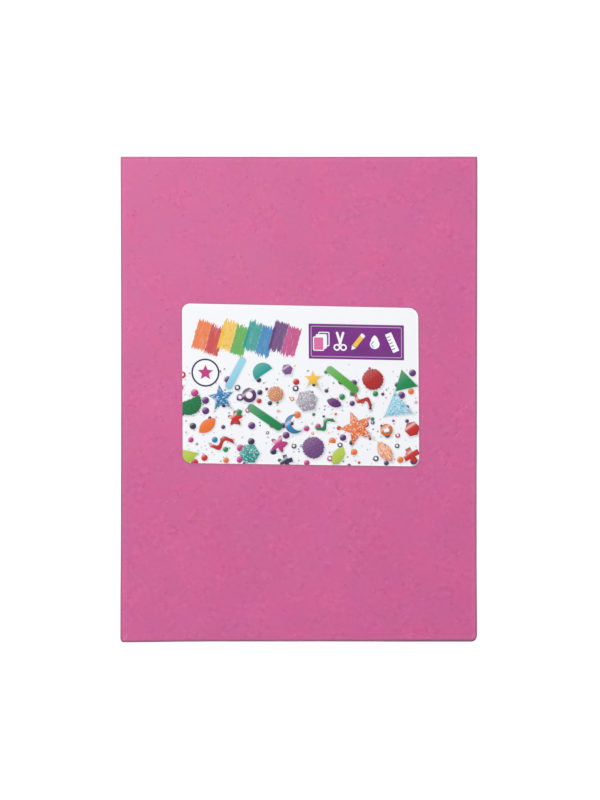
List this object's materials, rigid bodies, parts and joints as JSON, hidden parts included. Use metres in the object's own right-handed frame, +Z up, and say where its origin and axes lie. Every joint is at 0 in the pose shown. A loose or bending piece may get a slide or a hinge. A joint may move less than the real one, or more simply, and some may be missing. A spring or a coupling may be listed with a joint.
{
  "type": "craft foam sheet pack",
  "caption": "Squared-up stack of flat craft foam sheets, with a rounded paper label stuck on the top sheet.",
  "frame": {"origin": "bottom centre of the stack, on the surface it lies on", "axes": "+X across the sheets' width, +Y along their length towards the top of the label, +Z up through the stack"},
  "size_m": [0.23, 0.3122, 0.0232],
  "materials": {
    "foam": "matte",
    "label_paper": "satin"
  },
  "bodies": {
    "root": {"sheet_01": "foam", "sheet_02": "foam", "sheet_03": "foam", "sheet_04": "foam", "sheet_05": "foam", "sheet_06": "foam", "sheet_07": "foam", "sheet_08": "foam", "sheet_09": "foam", "sheet_10": "foam", "label": "label_paper"}
  },
  "joints": []
}
